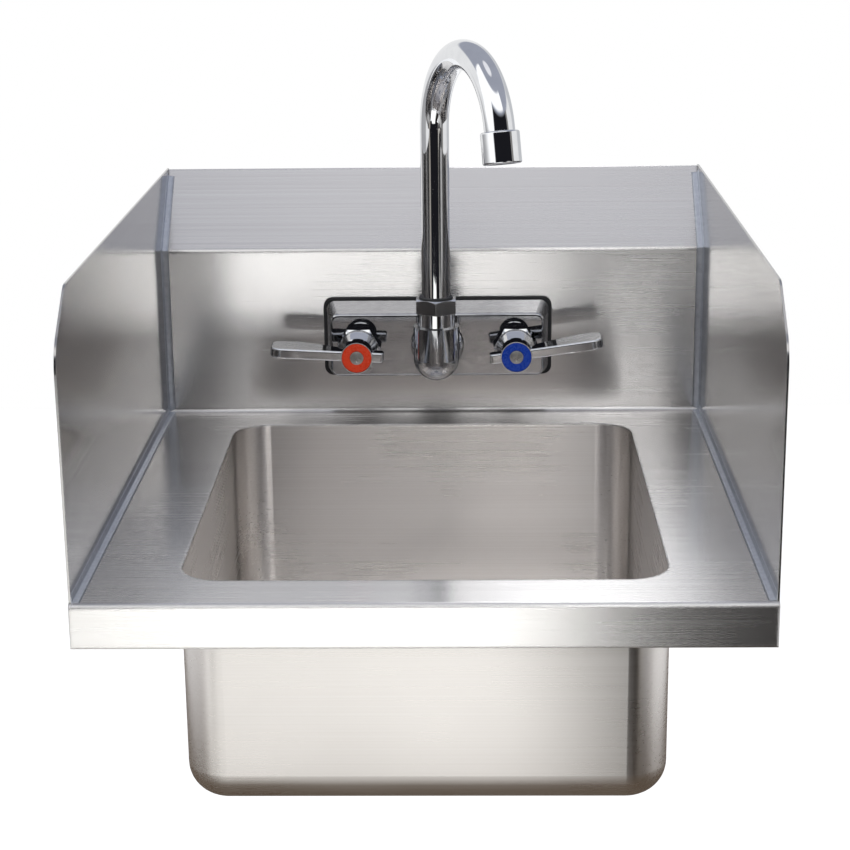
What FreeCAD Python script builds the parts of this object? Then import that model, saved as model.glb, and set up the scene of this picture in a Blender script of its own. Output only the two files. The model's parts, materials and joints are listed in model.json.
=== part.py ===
import FreeCAD, Part
import math
import os
import re
import Sketcher

# Wall-hung hand basin: folded steel deck and splash, drawn bowl, side splashes,
# basket drain and a wall-mounted mixer tap with a swivel gooseneck spout.
# Frame: +X to the user's right, +Y into the wall, +Z up. The origin is the middle of the
# wall bracket's screw holes, on the wall. Shapes are drawn from a corner of their own,
# where y = 0 is the front face of the back splash and z = 0 is the top of the deck.

SIZES = {
    # Folded sheet
    "overall_width": 358,
    "deck_depth": 355.6,
    "wall_gap": 50.8,
    "sheet_gauge": 1.2,
    "apron_height": 24,
    "apron_return": 9,
    "edge_radius": 2.6,
    "bend_radius": 2.5,
    "splash_bend_height": 110,
    "splash_height": 159.4,
    "lip_drop": 25,
    "lip_bend_radius": 1,
    # Side splashes and their welds
    "panel_setback": 2.6,
    "panel_height": 156.8,
    "panel_cut_depth": 34,
    "panel_cut_height": 27,
    "panel_front_radius": 22,
    "panel_top_radius": 10,
    "panel_flange": 16,
    "panel_screw_height": 18,
    "flange_lip_gap": 4,
    "weld_leg": 4.5,
    "weld_throat": 0.7,
    "weld_end_gap": 10,
    # Bowl
    "bowl_width": 257,
    "bowl_length": 290,
    "bowl_depth": 128.5,
    "bowl_wall": 1.2,
    "bowl_rear_margin": 31.5,
    "bowl_corner_radius": 22,
    "bowl_floor_radius": 17.5,
    "bowl_rim": 9,
    # Wall bracket
    "screw_height": 111,
    "bracket_width": 254,
    "bracket_gauge": 2,
    "bracket_foot": 17,
    "bracket_screw_spacing": 203.2,
    "bracket_lip_gap": 3,
    "hook_gap": 0.4,
    "wall_screw_radius": 3.5,
    # Drain
    "drain_recess": 3,
    "drain_flange_radius": 34,
    "drain_flange_thick": 2,
    "drain_thread_radius": 24,
    "drain_thread_length": 27,
    "drain_cup_radius": 21,
    "drain_cup_depth": 24,
    "drain_tail_radius": 19.05,
    "drain_tail_length": 24,
    "drain_tail_wall": 1.6,
    "drain_gasket_thick": 3,
    "drain_washer_thick": 1,
    "drain_nut_flats": 60,
    "drain_nut_thick": 10,
    "basket_depth": 17,
    "basket_wall": 0.8,
    "basket_rim": 4.5,
    "basket_hole_radius": 2,
    "basket_hole_ring": 13.5,
    "basket_hole_count": 12,
    "basket_post_radius": 2.5,
    "basket_knob_radius": 5.5,
    "basket_knob_height": 5,
    "basket_post_height": 10,
    # Tap body
    "tap_height": 52,
    "tap_offset": 3.4,
    "valve_spacing": 101.6,
    "gasket_thick": 1.6,
    "gasket_border": 1.2,
    "body_back_width": 148.2,
    "body_back_height": 50.2,
    "body_front_width": 139,
    "body_front_height": 41.3,
    "body_thick": 25,
    "body_corner_radius": 6,
    "body_edge_radius": 2,
    "valve_bore_radius": 9.5,
    "valve_bore_depth": 17,
    "inlet_port_radius": 5,
    "mixing_bore_radius": 5,
    "waterway_radius": 6,
    # Inlets
    "shank_radius": 10.9,
    "inlet_thread_radius": 10.45,
    "inlet_thread_length": 27,
    "shank_bore_radius": 7,
    "shank_socket": 6,
    "inlet_chamfer": 0.6,
    "shank_length": 38,
    "splash_hole_clearance": 0.7,
    "shank_washer_radius": 16,
    "shank_washer_thick": 1.5,
    "shank_nut_flats": 30,
    "shank_nut_thick": 7,
    # Valves and handles
    "fit_gap": 0.15,
    "press_gap": 0.05,
    "seat_thick": 2,
    "disc_thick": 2,
    "disc_radius": 7,
    "nut_chamfer": 30,
    "bonnet_flats": 24.8,
    "bonnet_hex": 9,
    "bonnet_bell": 11,
    "bonnet_bell_radius": 12.1,
    "bonnet_shoulder": 2.5,
    "bonnet_shoulder_radius": 2.5,
    "bonnet_neck_radius": 8.6,
    "stem_radius": 4,
    "stem_flange": 3,
    "stem_grip": 7,
    "seal_groove_depth": 1,
    "seal_groove_width": 1.4,
    "seal_groove_height": 10,
    "hub_gap": 0.8,
    "hub_length": 13.5,
    "hub_radius": 10.1,
    "hub_back_radius": 9.4,
    "index_radius": 9.45,
    "index_recess": 1.4,
    "index_chamfer": 0.35,
    "handle_screw_radius": 4.2,
    "handle_screw_head": 2.2,
    "handle_screw_dome": 1.1,
    "handle_screw_shank": 1.9,
    "handle_screw_reach": 7,
    "lever_length": 55.6,
    "lever_tail": 17,
    "lever_tail_radius": 2.3,
    "lever_thick": 6.4,
    "lever_front_gap": 2.6,
    "lever_root_width": 9,
    "lever_neck_width": 14,
    "lever_neck_start": 13,
    "lever_tip_width": 23,
    "lever_tip_start": 38,
    "lever_tip_radius": 7,
    "lever_edge_radius": 1.2,
    "hot_lever_lift": 3,
    "cold_lever_lift": 8,
    # Spout socket
    "spout_stand_off": 60,
    "elbow_radius": 14.5,
    "elbow_rise": 21,
    "elbow_root_radius": 3,
    "collar_thread_radius": 10.5,
    "collar_thread_length": 11,
    "socket_depth": 23,
    "spout_nut_flats": 24.8,
    "spout_nut_collar": 9,
    "spout_nut_collar_radius": 12,
    "spout_nut_hex": 9,
    "spout_nut_roof": 4,
    "spout_nut_ledge": 2,
    "spout_wiper_width": 1.4,
    "spout_wiper_stand": 1,
    # Spout
    "tube_radius": 9,
    "tube_wall": 1.2,
    "ferrule_flange": 2.4,
    "ferrule_flange_radius": 10.2,
    "ferrule_bore_radius": 5.5,
    "spigot_length": 20,
    "spout_groove_drop": 12,
    "spout_groove_width": 3,
    "spout_groove_depth": 2.2,
    "spout_bend_height": 198.5,
    "spout_bend_radius": 48,
    "spout_bend_angle": 168,
    "spout_outlet_length": 9.6,
    "spout_heading": 24,
    "aerator_radius": 11.4,
    "aerator_length": 18.8,
    "aerator_lap": 8.6,
    "aerator_chamfer": 1.2,
    "aerator_mouth_radius": 9.6,
    "aerator_lip": 1.5,
    "aerator_washer_thick": 1.4,
    "aerator_insert_gap": 0.2,
    "aerator_hole_radius": 1.1,
    "aerator_hole_ring": 6,
    "aerator_hole_count": 12,
}

SLOPE = "atan((splash_height - splash_bend_height) / wall_gap)"
BODY_FRONT = "(gasket_thick + body_thick)"
UNDER_LIP = f"(splash_height - sheet_gauge * (1 + sin({SLOPE})) / cos({SLOPE}))"
PANEL_INNER = "(overall_width / 2 - sheet_gauge)"
PANEL_FRONT = "(-deck_depth + panel_setback)"
BOWL_MIDDLE = "(-bowl_rear_margin - bowl_length / 2)"
DRAIN_SEAT = "(-bowl_depth - drain_recess)"
SPLASH_HOLE = "(shank_radius + splash_hole_clearance)"
ELBOW_TOP = "(tap_height + elbow_rise)"
COLLAR_TOP = "(tap_height + elbow_rise + collar_thread_length)"
TUBE_START = "(tap_height + elbow_rise + collar_thread_length + ferrule_flange)"
HUB_BACK = "(bonnet_hex + bonnet_bell + hub_gap)"
NO_TURN = "rotation(vector(0; 0; 1); 0)"
FACING_USER = "rotation(vector(1; 0; 0); 90)"

doc = FreeCAD.newDocument("hand_basin")
sheet = doc.addObject("Spreadsheet::Sheet", "dims")
parts = []


def fill_sheet():
    for row, (name, size) in enumerate(SIZES.items(), 1):
        sheet.set(f"A{row}", name)
        sheet.set(f"B{row}", str(size))
        sheet.setAlias(f"B{row}", name)
    doc.recompute()


def bound(text):
    """An expression in size names, as one that reads the sheet."""
    def cell(word):
        return "dims." + word[0] if word[0] in SIZES else word[0]
    return re.sub(r"[a-z][a-z0-9_]*", cell, str(text))


def value(text):
    result = doc.dims.evalExpression(bound(text))
    return float(getattr(result, "Value", result))


def bind(item, **sizes):
    for name, text in sizes.items():
        item.setExpression(name.replace("__", "."), bound(text))


def set_down(item, x=0, y=0, z=0, turn=NO_TURN):
    """Put an item at a spot that is given from the corner of deck and splash."""
    spot = f"vector({x}; {y} - wall_gap; {z} - screw_height)"
    bind(item, Placement=f"placement({spot}; {turn})")


def place(item, *spot_and_turn, **named):
    """Set a sub-part down and list it for the files."""
    set_down(item, *spot_and_turn, **named)
    parts.append(item)


def new_body(name):
    body = doc.addObject("PartDesign::Body", name)
    body.Label = name
    return body


def new_sketch(body, plane, lift=0):
    sketch = body.newObject("Sketcher::SketchObject", "outline")
    support = next(item for item in body.Origin.OriginFeatures if item.Role == plane)
    sketch.AttachmentSupport = [(support, "")]
    sketch.MapMode = "FlatFace"
    bind(sketch, AttachmentOffset__Base__z=lift)
    return sketch


def tie_point(sketch, geometry, end, x, y):
    for kind, text in (("DistanceX", x), ("DistanceY", y)):
        index = sketch.addConstraint(Sketcher.Constraint(kind, -1, 1, geometry, end, value(text)))
        sketch.setExpression(f"Constraints[{index}]", bound(text))


def draw_polygon(sketch, corners):
    """A closed outline, its corners given as pairs of expressions."""
    points = [FreeCAD.Vector(value(x), value(y), 0) for x, y in corners]
    lines = []
    for start, end in zip(points, points[1:] + points[:1]):
        lines.append(sketch.addGeometry(Part.LineSegment(start, end)))
    for line, following in zip(lines, lines[1:] + lines[:1]):
        sketch.addConstraint(Sketcher.Constraint("Coincident", line, 2, following, 1))
    for line, (x, y) in zip(lines, corners):
        tie_point(sketch, line, 1, x, y)


def draw_box(sketch, left, right, low, high):
    draw_polygon(sketch, [(left, low), (right, low), (right, high), (left, high)])


def tie_arc(sketch, arc, before, after, radius):
    """Close an arc between the end of one line and the start of the next."""
    sketch.addConstraint(Sketcher.Constraint("Coincident", *before, arc, 1))
    sketch.addConstraint(Sketcher.Constraint("Coincident", arc, 2, *after))
    index = sketch.addConstraint(Sketcher.Constraint("Radius", arc, value(radius)))
    sketch.setExpression(f"Constraints[{index}]", bound(radius))


def draw_rounded_box(sketch, middle, half_wide, half_deep, radius):
    """A box with round corners, centred on the sketch's Y axis at the given height."""
    near_x = f"({half_wide} - ({radius}))"
    near_y = f"({half_deep} - ({radius}))"
    sides = [
        ((f"-{near_x}", f"{middle} - {half_deep}"), (near_x, f"{middle} - {half_deep}")),
        ((half_wide, f"{middle} - {near_y}"), (half_wide, f"{middle} + {near_y}")),
        ((near_x, f"{middle} + {half_deep}"), (f"-{near_x}", f"{middle} + {half_deep}")),
        ((f"-{half_wide}", f"{middle} + {near_y}"), (f"-{half_wide}", f"{middle} - {near_y}")),
    ]
    lines = []
    for start, end in sides:
        points = [FreeCAD.Vector(value(x), value(y), 0) for x, y in (start, end)]
        lines.append(sketch.addGeometry(Part.LineSegment(*points)))
        tie_point(sketch, lines[-1], 1, *start)
        tie_point(sketch, lines[-1], 2, *end)
    corners = ((near_x, f"{middle} - {near_y}"), (near_x, f"{middle} + {near_y}"),
               (f"-{near_x}", f"{middle} + {near_y}"), (f"-{near_x}", f"{middle} - {near_y}"))
    quarter = math.pi / 2
    for step, (x, y) in enumerate(corners):
        centre = FreeCAD.Vector(value(x), value(y), 0)
        circle = Part.Circle(centre, FreeCAD.Vector(0, 0, 1), value(radius))
        arc = sketch.addGeometry(Part.ArcOfCircle(circle, (step - 1) * quarter, step * quarter))
        tie_arc(sketch, arc, (lines[step], 2), (lines[(step + 1) % 4], 1), radius)


def draw_hexagon(sketch, flats):
    corner = f"({flats} / sqrt(3))"
    spots = [(f"{corner} * cos({60 * step})", f"{corner} * sin({60 * step})") for step in range(6)]
    draw_polygon(sketch, spots)


def draw_circle(sketch, x, y, radius):
    centre = FreeCAD.Vector(value(x), value(y), 0)
    circle = Part.Circle(centre, FreeCAD.Vector(0, 0, 1), value(radius))
    ring = sketch.addGeometry(circle)
    tie_point(sketch, ring, 3, x, y)
    index = sketch.addConstraint(Sketcher.Constraint("Radius", ring, value(radius)))
    sketch.setExpression(f"Constraints[{index}]", bound(radius))


def pad(body, sketch, length, reverse=False, middle=False):
    feature = body.newObject("PartDesign::Pad", "pad")
    feature.Profile = sketch
    bind(feature, Length=length)
    feature.Reversed = reverse
    feature.SideType = "Symmetric" if middle else "One side"
    doc.recompute()
    return feature


def cut(body, sketch, length, reverse=False, middle=False):
    """Pocket the body and make sure that it lost material."""
    before = body.Shape.Volume
    feature = body.newObject("PartDesign::Pocket", "pocket")
    feature.Profile = sketch
    bind(feature, Length=length)
    feature.Reversed = reverse
    feature.SideType = "Symmetric" if middle else "One side"
    doc.recompute()
    if body.Shape.Volume >= before:
        raise RuntimeError(body.Label + ": a pocket misses the solid")
    return feature


def turn_profile(body, kind, corners):
    """Revolve or groove an outline of radius and height round the body's own Z axis."""
    sketch = new_sketch(body, "XZ_Plane")
    draw_polygon(sketch, corners)
    feature = body.newObject("PartDesign::" + kind, kind.lower())
    feature.Profile = sketch
    feature.ReferenceAxis = (sketch, ["V_Axis"])
    feature.Angle = 360
    doc.recompute()
    return feature


def turned(name, corners):
    body = new_body(name)
    turn_profile(body, "Revolution", corners)
    return body


def ring(name, inner, outer, low, high):
    return turned(name, [(inner, low), (outer, low), (outer, high), (inner, high)])


def bore(body, radius, low, high):
    turn_profile(body, "Groove", [(0, low), (radius, low), (radius, high), (0, high)])


def chamfer_hexagon(body, flats, top):
    """Turn the corners off one end of a hexagon."""
    drop = f"{flats} / 2 * tan(nut_chamfer)"
    turn_profile(body, "Groove", [(f"{flats} / 2", top), (flats, top), (flats, f"{top} - {drop}")])


def polar_holes(body, hole, count):
    pattern = body.newObject("PartDesign::PolarPattern", "hole_ring")
    pattern.Originals = [hole]
    pattern.Axis = (hole.Profile[0], ["N_Axis"])
    pattern.Angle = 360
    bind(pattern, Occurrences=count)
    body.Tip = pattern
    doc.recompute()


def round_edges(body, radius, chosen, kind="Fillet"):
    """Round or chamfer the edges of the body, in its own frame, that the test picks."""
    base = body.Tip
    names = [f"Edge{number}" for number, edge in enumerate(base.Shape.Edges, 1) if chosen(edge)]
    if not names:
        raise RuntimeError(body.Label + ": no edge to round")
    feature = body.newObject("PartDesign::" + kind, kind.lower())
    feature.Base = (base, names)
    bind(feature, **{"Radius" if kind == "Fillet" else "Size": radius})
    doc.recompute()
    if "Invalid" in feature.State:
        raise RuntimeError(f"{body.Label}: {len(names)} edges can't be rounded by {radius}")
    return feature


def near(first, second):
    return abs(first - second) < 0.01


def along(edge, axis):
    """Whether an edge is straight and runs along X, Y or Z."""
    box = edge.BoundBox
    spans = {"X": box.XLength, "Y": box.YLength, "Z": box.ZLength}
    longest = spans.pop(axis)
    return longest > 0.01 and max(spans.values()) < 0.01


def at(edge, x=None, y=None, z=None):
    """Whether an edge's middle has the given coordinates, as expressions."""
    middle = edge.BoundBox.Center
    wanted = ((middle.x, x), (middle.y, y), (middle.z, z))
    return all(text is None or near(spot, value(text)) for spot, text in wanted)


def level(edge, height):
    """Whether the whole edge lies at one height of the body's own Z axis."""
    return edge.BoundBox.ZLength < 0.01 and near(edge.BoundBox.ZMin, value(height))


def deck_and_backsplash():
    body = new_body("deck_and_backsplash")
    half = "overall_width / 2"
    tray = new_sketch(body, "XY_Plane")
    draw_box(tray, f"-{half}", half, "-deck_depth", "sheet_gauge")
    pad(body, tray, "apron_height", reverse=True)
    round_edges(body, "edge_radius", lambda edge: along(edge, "X") and at(edge, y="-deck_depth", z=0))
    block = body.Tip
    open_faces = []
    for number, face in enumerate(block.Shape.Faces, 1):
        normal = face.normalAt(0, 0)
        if near(normal.z, -1) or near(normal.y, 1):
            open_faces.append(f"Face{number}")
    shell = body.newObject("PartDesign::Thickness", "shell")
    shell.Base = (block, open_faces)
    shell.Reversed = True
    bind(shell, Value="sheet_gauge")
    body.Tip = shell
    doc.recompute()
    hem = new_sketch(body, "XY_Plane", "-apron_height")
    inside = "(overall_width / 2 - sheet_gauge / 2)"
    draw_box(hem, f"-{inside}", inside, "-deck_depth + sheet_gauge / 2", "-deck_depth + apron_return")
    pad(body, hem, "sheet_gauge")
    behind_bend = f"(splash_bend_height - sheet_gauge * (1 - sin({SLOPE})) / cos({SLOPE}))"
    splash = new_sketch(body, "YZ_Plane")
    draw_polygon(splash, [
        ("0", "-sheet_gauge"),
        ("0", "splash_bend_height"),
        ("wall_gap", "splash_height"),
        ("wall_gap", "splash_height - lip_drop"),
        ("wall_gap - sheet_gauge", "splash_height - lip_drop"),
        ("wall_gap - sheet_gauge", UNDER_LIP),
        ("sheet_gauge", behind_bend),
        ("sheet_gauge", "-sheet_gauge"),
    ])
    pad(body, splash, f"2 * {PANEL_INNER}", middle=True)
    bends = (
        ("bend_radius", "0", "0"),
        ("bend_radius", "sheet_gauge", behind_bend),
        ("bend_radius + sheet_gauge", "0", "splash_bend_height"),
        ("lip_bend_radius", "wall_gap - sheet_gauge", UNDER_LIP),
        ("lip_bend_radius + sheet_gauge", "wall_gap", "splash_height"),
    )
    for radius, y, z in bends:
        round_edges(body, radius, lambda edge: along(edge, "X") and at(edge, y=y, z=z))
    opening = new_sketch(body, "XY_Plane")
    draw_rounded_box(opening, BOWL_MIDDLE, "bowl_width / 2", "bowl_length / 2", "bowl_corner_radius")
    cut(body, opening, "2 * sheet_gauge")
    holes = new_sketch(body, "XZ_Plane")
    for side in (-1, 1):
        draw_circle(holes, f"tap_offset + {side} * valve_spacing / 2", "tap_height", SPLASH_HOLE)
    cut(body, holes, "4 * sheet_gauge", middle=True)
    place(body)
    return body


def bowl():
    body = new_body("bowl")
    top = "-sheet_gauge"
    outer_x = "(bowl_width / 2 + bowl_wall)"
    outer_y = "(bowl_length / 2 + bowl_wall)"
    block = new_sketch(body, "XY_Plane", top)
    draw_rounded_box(block, 0, outer_x, outer_y, "bowl_corner_radius + bowl_wall")
    pad(body, block, "bowl_depth + bowl_wall - sheet_gauge", reverse=True)
    flange = new_sketch(body, "XY_Plane", top)
    draw_rounded_box(flange, 0, f"({outer_x} + bowl_rim)", f"({outer_y} + bowl_rim)",
                     "bowl_corner_radius + bowl_wall + bowl_rim")
    pad(body, flange, "bowl_wall", reverse=True)
    hollow = new_sketch(body, "XY_Plane", top)
    draw_rounded_box(hollow, 0, "bowl_width / 2", "bowl_length / 2", "bowl_corner_radius")
    cut(body, hollow, "bowl_depth - sheet_gauge")
    round_edges(body, "bowl_floor_radius", lambda edge: level(edge, "-bowl_depth"))
    round_edges(body, "bowl_floor_radius + bowl_wall",
                lambda edge: level(edge, "-bowl_depth - bowl_wall"))
    seat = "drain_flange_radius + drain_recess"
    dish = new_sketch(body, "XY_Plane", "-bowl_depth - bowl_wall / 2")
    draw_circle(dish, 0, 0, f"{seat} + bowl_wall")
    pad(body, dish, "drain_recess + bowl_wall / 2", reverse=True)
    recess = new_sketch(body, "XY_Plane", "-bowl_depth + bowl_wall")
    draw_circle(recess, 0, 0, seat)
    cut(body, recess, "drain_recess + bowl_wall")
    hole = new_sketch(body, "XY_Plane", "-bowl_depth")
    draw_circle(hole, 0, 0, "drain_thread_radius + splash_hole_clearance")
    cut(body, hole, "drain_recess + 2 * bowl_wall")
    place(body, y=BOWL_MIDDLE)


def side_splash(name, side):
    """A flat side panel with a cut front corner and a screw flange on the wall."""
    body = new_body(name)
    inner = f"({side} * {PANEL_INNER})"
    outline = new_sketch(body, "YZ_Plane", inner)
    draw_polygon(outline, [
        (PANEL_FRONT, "0"),
        (PANEL_FRONT, "panel_height - panel_cut_height"),
        (f"{PANEL_FRONT} + panel_cut_depth", "panel_height"),
        ("wall_gap", "panel_height"),
        ("wall_gap", "0"),
    ])
    pad(body, outline, "sheet_gauge", reverse=side < 0)
    corners = (
        ("panel_front_radius", PANEL_FRONT, "panel_height - panel_cut_height"),
        ("panel_top_radius", f"{PANEL_FRONT} + panel_cut_depth", "panel_height"),
    )
    for radius, y, z in corners:
        round_edges(body, radius, lambda edge: along(edge, "X") and at(edge, y=y, z=z))
    flange = new_sketch(body, "XZ_Plane", "-wall_gap")
    ends = (f"{inner} + {side} * sheet_gauge / 2", f"{inner} - {side} * panel_flange")
    draw_box(flange, *ends, "0", "splash_height - lip_drop - flange_lip_gap")
    pad(body, flange, "sheet_gauge")
    screw = new_sketch(body, "XZ_Plane", "-wall_gap")
    draw_circle(screw, f"{inner} - {side} * panel_flange / 2", "panel_screw_height", "wall_screw_radius")
    cut(body, screw, "3 * sheet_gauge", middle=True)
    place(body)


def weld(name, side, deck):
    """A bead that follows the inner corner along the deck, up the splash and its slope."""
    bead = new_body(name + "_bead")
    inner = f"({side} * {PANEL_INNER})"
    path = new_sketch(bead, "YZ_Plane", inner)
    stops = [
        (PANEL_FRONT, "0"),
        ("0", "0"),
        ("0", "splash_bend_height"),
        (f"wall_gap - weld_end_gap * cos({SLOPE})", f"splash_height - weld_end_gap * sin({SLOPE})"),
    ]
    points = [FreeCAD.Vector(value(y), value(z), 0) for y, z in stops]
    for index, (start, end) in enumerate(zip(points, points[1:])):
        path.addGeometry(Part.LineSegment(start, end))
        tie_point(path, index, 1, *stops[index])
    tie_point(path, len(points) - 2, 2, *stops[-1])
    section = new_sketch(bead, "XZ_Plane", f"-{PANEL_FRONT}")
    draw_polygon(section, [
        (inner, "0"),
        (f"{inner} - {side} * weld_leg", "0"),
        (f"{inner} - {side} * weld_throat", "weld_throat"),
        (inner, "weld_leg"),
    ])
    sweep = bead.newObject("PartDesign::AdditivePipe", "sweep")
    sweep.Profile = section
    sweep.Spine = (path, ["Edge1", "Edge2", "Edge3"])
    sweep.Transition = "Right corner"
    doc.recompute()
    set_down(bead)
    trimmed = doc.addObject("Part::Cut", name)
    trimmed.Label = name
    trimmed.Base = bead
    trimmed.Tool = deck
    parts.append(trimmed)


def wall_bracket():
    """A Z-shaped strip: screwed to the wall below, standing off it above to hold the lip."""
    body = new_body("wall_bracket")
    off = "(sheet_gauge + hook_gap)"
    jog = "(splash_height - lip_drop - bracket_lip_gap)"
    slope_drop = f"tan({SLOPE}) * (hook_gap + bracket_gauge)"
    bend_drop = f"lip_bend_radius / tan(45 deg - {SLOPE} / 2)"
    crown = f"({UNDER_LIP} - max({slope_drop}; {bend_drop}) - hook_gap)"
    foot = "(screw_height - bracket_foot)"
    profile = new_sketch(body, "YZ_Plane")
    draw_polygon(profile, [
        ("wall_gap", foot),
        ("wall_gap", jog),
        (f"wall_gap - {off}", jog),
        (f"wall_gap - {off}", crown),
        (f"wall_gap - {off} - bracket_gauge", crown),
        (f"wall_gap - {off} - bracket_gauge", f"{jog} - bracket_gauge"),
        ("wall_gap - bracket_gauge", f"{jog} - bracket_gauge"),
        ("wall_gap - bracket_gauge", foot),
    ])
    pad(body, profile, "bracket_width", middle=True)
    screws = new_sketch(body, "XZ_Plane", "-wall_gap")
    for side in (-1, 1):
        draw_circle(screws, f"{side} * bracket_screw_spacing / 2", "screw_height", "wall_screw_radius")
    cut(body, screws, "3 * bracket_gauge", middle=True)
    place(body)


def drain():
    under = "(-bowl_wall)"
    tail_end = "(-drain_thread_length - drain_tail_length)"
    outlet = "(drain_tail_radius - drain_tail_wall)"
    body = turned("drain_body", [
        ("drain_cup_radius", "drain_flange_thick"),
        ("drain_flange_radius - drain_flange_thick", "drain_flange_thick"),
        ("drain_flange_radius", "0"),
        ("drain_thread_radius", "0"),
        ("drain_thread_radius", "-drain_thread_length"),
        ("drain_tail_radius", "-drain_thread_length"),
        ("drain_tail_radius", tail_end),
        (outlet, tail_end),
        (outlet, "-drain_cup_depth"),
        ("drain_cup_radius", "-drain_cup_depth"),
    ])
    place(body, y=BOWL_MIDDLE, z=DRAIN_SEAT)
    inner = "drain_thread_radius + fit_gap"
    washer_top = f"({under} - drain_gasket_thick)"
    nut_top = f"({washer_top} - drain_washer_thick)"
    gasket = ring("drain_gasket", inner, "drain_flange_radius", washer_top, under)
    place(gasket, y=BOWL_MIDDLE, z=DRAIN_SEAT)
    washer = ring("drain_washer", inner, "drain_flange_radius", nut_top, washer_top)
    place(washer, y=BOWL_MIDDLE, z=DRAIN_SEAT)
    nut = new_body("drain_locknut")
    hexagon = new_sketch(nut, "XY_Plane", nut_top)
    draw_hexagon(hexagon, "drain_nut_flats")
    pad(nut, hexagon, "drain_nut_thick", reverse=True)
    bore(nut, inner, f"{nut_top} - drain_nut_thick", nut_top)
    place(nut, y=BOWL_MIDDLE, z=DRAIN_SEAT)


def strainer_basket():
    """A lift-out cup with a holed floor and a pull post, its rim on the drain flange."""
    cup = "(drain_cup_radius - hub_gap)"
    low = "(-basket_depth)"
    post = "(basket_post_height - basket_depth)"
    body = turned("strainer_basket", [
        ("0", low),
        (cup, low),
        (cup, "0"),
        (f"{cup} + basket_rim", "0"),
        (f"{cup} + basket_rim", "basket_wall"),
        (f"{cup} - basket_wall", "basket_wall"),
        (f"{cup} - basket_wall", f"{low} + basket_wall"),
        ("basket_post_radius", f"{low} + basket_wall"),
        ("basket_post_radius", post),
        ("basket_knob_radius", post),
        ("basket_knob_radius", f"{post} + basket_knob_height"),
        ("0", f"{post} + basket_knob_height"),
    ])
    hole = new_sketch(body, "XY_Plane", f"{low} + 2 * basket_wall")
    draw_circle(hole, "basket_hole_ring", 0, "basket_hole_radius")
    first = cut(body, hole, "4 * basket_wall")
    polar_holes(body, first, "basket_hole_count")
    place(body, y=BOWL_MIDDLE, z=f"{DRAIN_SEAT} + drain_flange_thick")


def tap_gasket():
    body = new_body("tap_gasket")
    outline = new_sketch(body, "XZ_Plane")
    wide = "(body_back_width / 2 + gasket_border)"
    tall = "(body_back_height / 2 + gasket_border)"
    draw_rounded_box(outline, 0, wide, tall, "body_corner_radius")
    pad(body, outline, "gasket_thick")
    holes = new_sketch(body, "XZ_Plane")
    for side in (-1, 1):
        draw_circle(holes, f"{side} * valve_spacing / 2", 0, SPLASH_HOLE)
    cut(body, holes, "4 * gasket_thick", middle=True)
    place(body, "tap_offset", 0, "tap_height")


def tap_body():
    """A tapered cast body with an elbow for the spout and drilled waterways."""
    body = new_body("tap_body")
    sections = []
    outlines = (
        ("gasket_thick", "body_back_width / 2", "body_back_height / 2"),
        (BODY_FRONT, "body_front_width / 2", "body_front_height / 2"),
    )
    for lift, wide, tall in outlines:
        section = new_sketch(body, "XZ_Plane", lift)
        draw_box(section, f"-{wide}", wide, f"-{tall}", tall)
        sections.append(section)
    block = body.newObject("PartDesign::AdditiveLoft", "block")
    block.Profile = sections[0]
    block.Sections = sections[1:]
    doc.recompute()
    round_edges(body, "body_corner_radius", lambda edge: edge.BoundBox.YLength > 1)
    round_edges(body, "body_edge_radius", lambda edge: near(edge.BoundBox.YMax, value(f"-{BODY_FRONT}")))
    arm = new_sketch(body, "XZ_Plane", f"{BODY_FRONT} - elbow_root_radius")
    draw_circle(arm, 0, 0, "elbow_radius")
    pad(body, arm, f"spout_stand_off - {BODY_FRONT} + elbow_root_radius")
    round_edges(body, "elbow_root_radius", lambda edge: near(edge.BoundBox.YMin, value(f"-{BODY_FRONT}"))
                and near(edge.BoundBox.YMax, value(f"-{BODY_FRONT}"))
                and near(edge.BoundBox.XLength, value("2 * elbow_radius")))
    corner = body.newObject("PartDesign::AdditiveSphere", "corner")
    bind(corner, Radius="elbow_radius", Placement__Base__y="-spout_stand_off")
    doc.recompute()
    for radius, height in (("elbow_radius", "elbow_rise"),
                           ("collar_thread_radius", "elbow_rise + collar_thread_length")):
        riser = new_sketch(body, "XY_Plane")
        draw_circle(riser, 0, "-spout_stand_off", radius)
        pad(body, riser, height)
    top = "(elbow_rise + collar_thread_length)"
    for radius, depth in (("tube_radius + fit_gap", "socket_depth"), ("waterway_radius", top)):
        well = new_sketch(body, "XY_Plane", top)
        draw_circle(well, 0, "-spout_stand_off", radius)
        cut(body, well, depth)
    feed = new_sketch(body, "XZ_Plane", "spout_stand_off")
    draw_circle(feed, 0, 0, "waterway_radius")
    cut(body, feed, "spout_stand_off - gasket_thick - body_thick / 2")
    chamber = new_sketch(body, "YZ_Plane")
    draw_circle(chamber, f"valve_bore_depth / 2 - {BODY_FRONT}", 0, "mixing_bore_radius")
    cut(body, chamber, "valve_spacing", middle=True)
    drillings = (
        (BODY_FRONT, "valve_bore_radius", "valve_bore_depth"),
        (BODY_FRONT, "inlet_port_radius", "body_thick"),
        ("gasket_thick + shank_socket", "shank_radius + fit_gap", "shank_socket"),
    )
    for lift, radius, depth in drillings:
        holes = new_sketch(body, "XZ_Plane", lift)
        for side in (-1, 1):
            draw_circle(holes, f"{side} * valve_spacing / 2", 0, radius)
        cut(body, holes, depth)
    place(body, "tap_offset", 0, "tap_height")


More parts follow.
